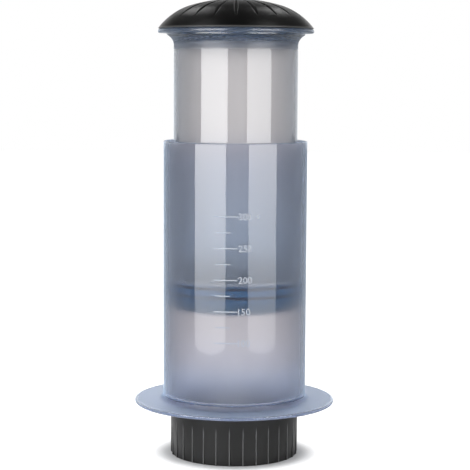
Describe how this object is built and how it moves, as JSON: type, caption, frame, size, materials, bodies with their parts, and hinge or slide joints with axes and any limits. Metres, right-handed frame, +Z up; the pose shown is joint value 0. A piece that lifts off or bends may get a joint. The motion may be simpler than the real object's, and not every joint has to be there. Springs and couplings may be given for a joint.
{
  "type": "portable hand coffee press",
  "caption": "Upright hand coffee press: graduated chamber with a round flange, sealed plunger tube, domed screw lid and a ribbed screw-on filter cap.",
  "frame": {"origin": "centre of the filter cap's foot, on the surface that the press stands on", "axes": "+Z up along the press, the graduated side of the chamber faces -Y, +X to its right"},
  "size_m": [0.0978, 0.0978, 0.2229],
  "materials": {
    "cap_plastic": "satin",
    "lid_plastic": "soft satin",
    "smoke_plastic": "glossy, smoke blue, translucent",
    "tube_plastic": "glossy, smoke grey, translucent",
    "blue_silicone": "satin, blue, slightly translucent",
    "grey_silicone": "satin",
    "screen_steel": "perforated",
    "filter_paper": "matt"
  },
  "bodies": {
    "filter_cap": {"filter_cap": "cap_plastic", "filter_screen": "screen_steel", "paper_filter": "filter_paper"},
    "neck_seal": {"neck_seal": "grey_silicone"},
    "chamber": {"chamber": "smoke_plastic"},
    "plunger": {"plunger_tube": "tube_plastic", "piston_head": "tube_plastic", "piston_seal": "blue_silicone"},
    "lid_seal": {"lid_seal": "grey_silicone"},
    "lid": {"dome_lid": "lid_plastic", "lid_liner": "lid_plastic"}
  },
  "joints": [
    {"name": "chamber_rise", "type": "slide", "parent": "filter_cap", "child": "neck_seal", "axis": [0, 0, 1], "range_m": [0, 0.018]},
    {"name": "chamber_turn", "type": "hinge", "parent": "neck_seal", "child": "chamber", "pos_m": [0, 0, 0.0174], "axis": [0, 0, 1], "range_deg": [0, 540]},
    {"name": "plunger_slide", "type": "slide", "parent": "chamber", "child": "plunger", "axis": [0, 0, 1], "range_m": [-0.042, 0.1]},
    {"name": "lid_rise", "type": "slide", "parent": "plunger", "child": "lid_seal", "axis": [0, 0, 1], "range_m": [0, 0.018]},
    {"name": "lid_turn", "type": "hinge", "parent": "lid_seal", "child": "lid", "pos_m": [0, 0, 0.2084], "axis": [0, 0, 1], "range_deg": [0, 540]}
  ],
  "couplings": [
    {"joint": "chamber_rise", "follows": "chamber_turn", "m_per_rad": 0.0019098},
    {"joint": "lid_rise", "follows": "lid_turn", "m_per_rad": 0.0019098}
  ]
}
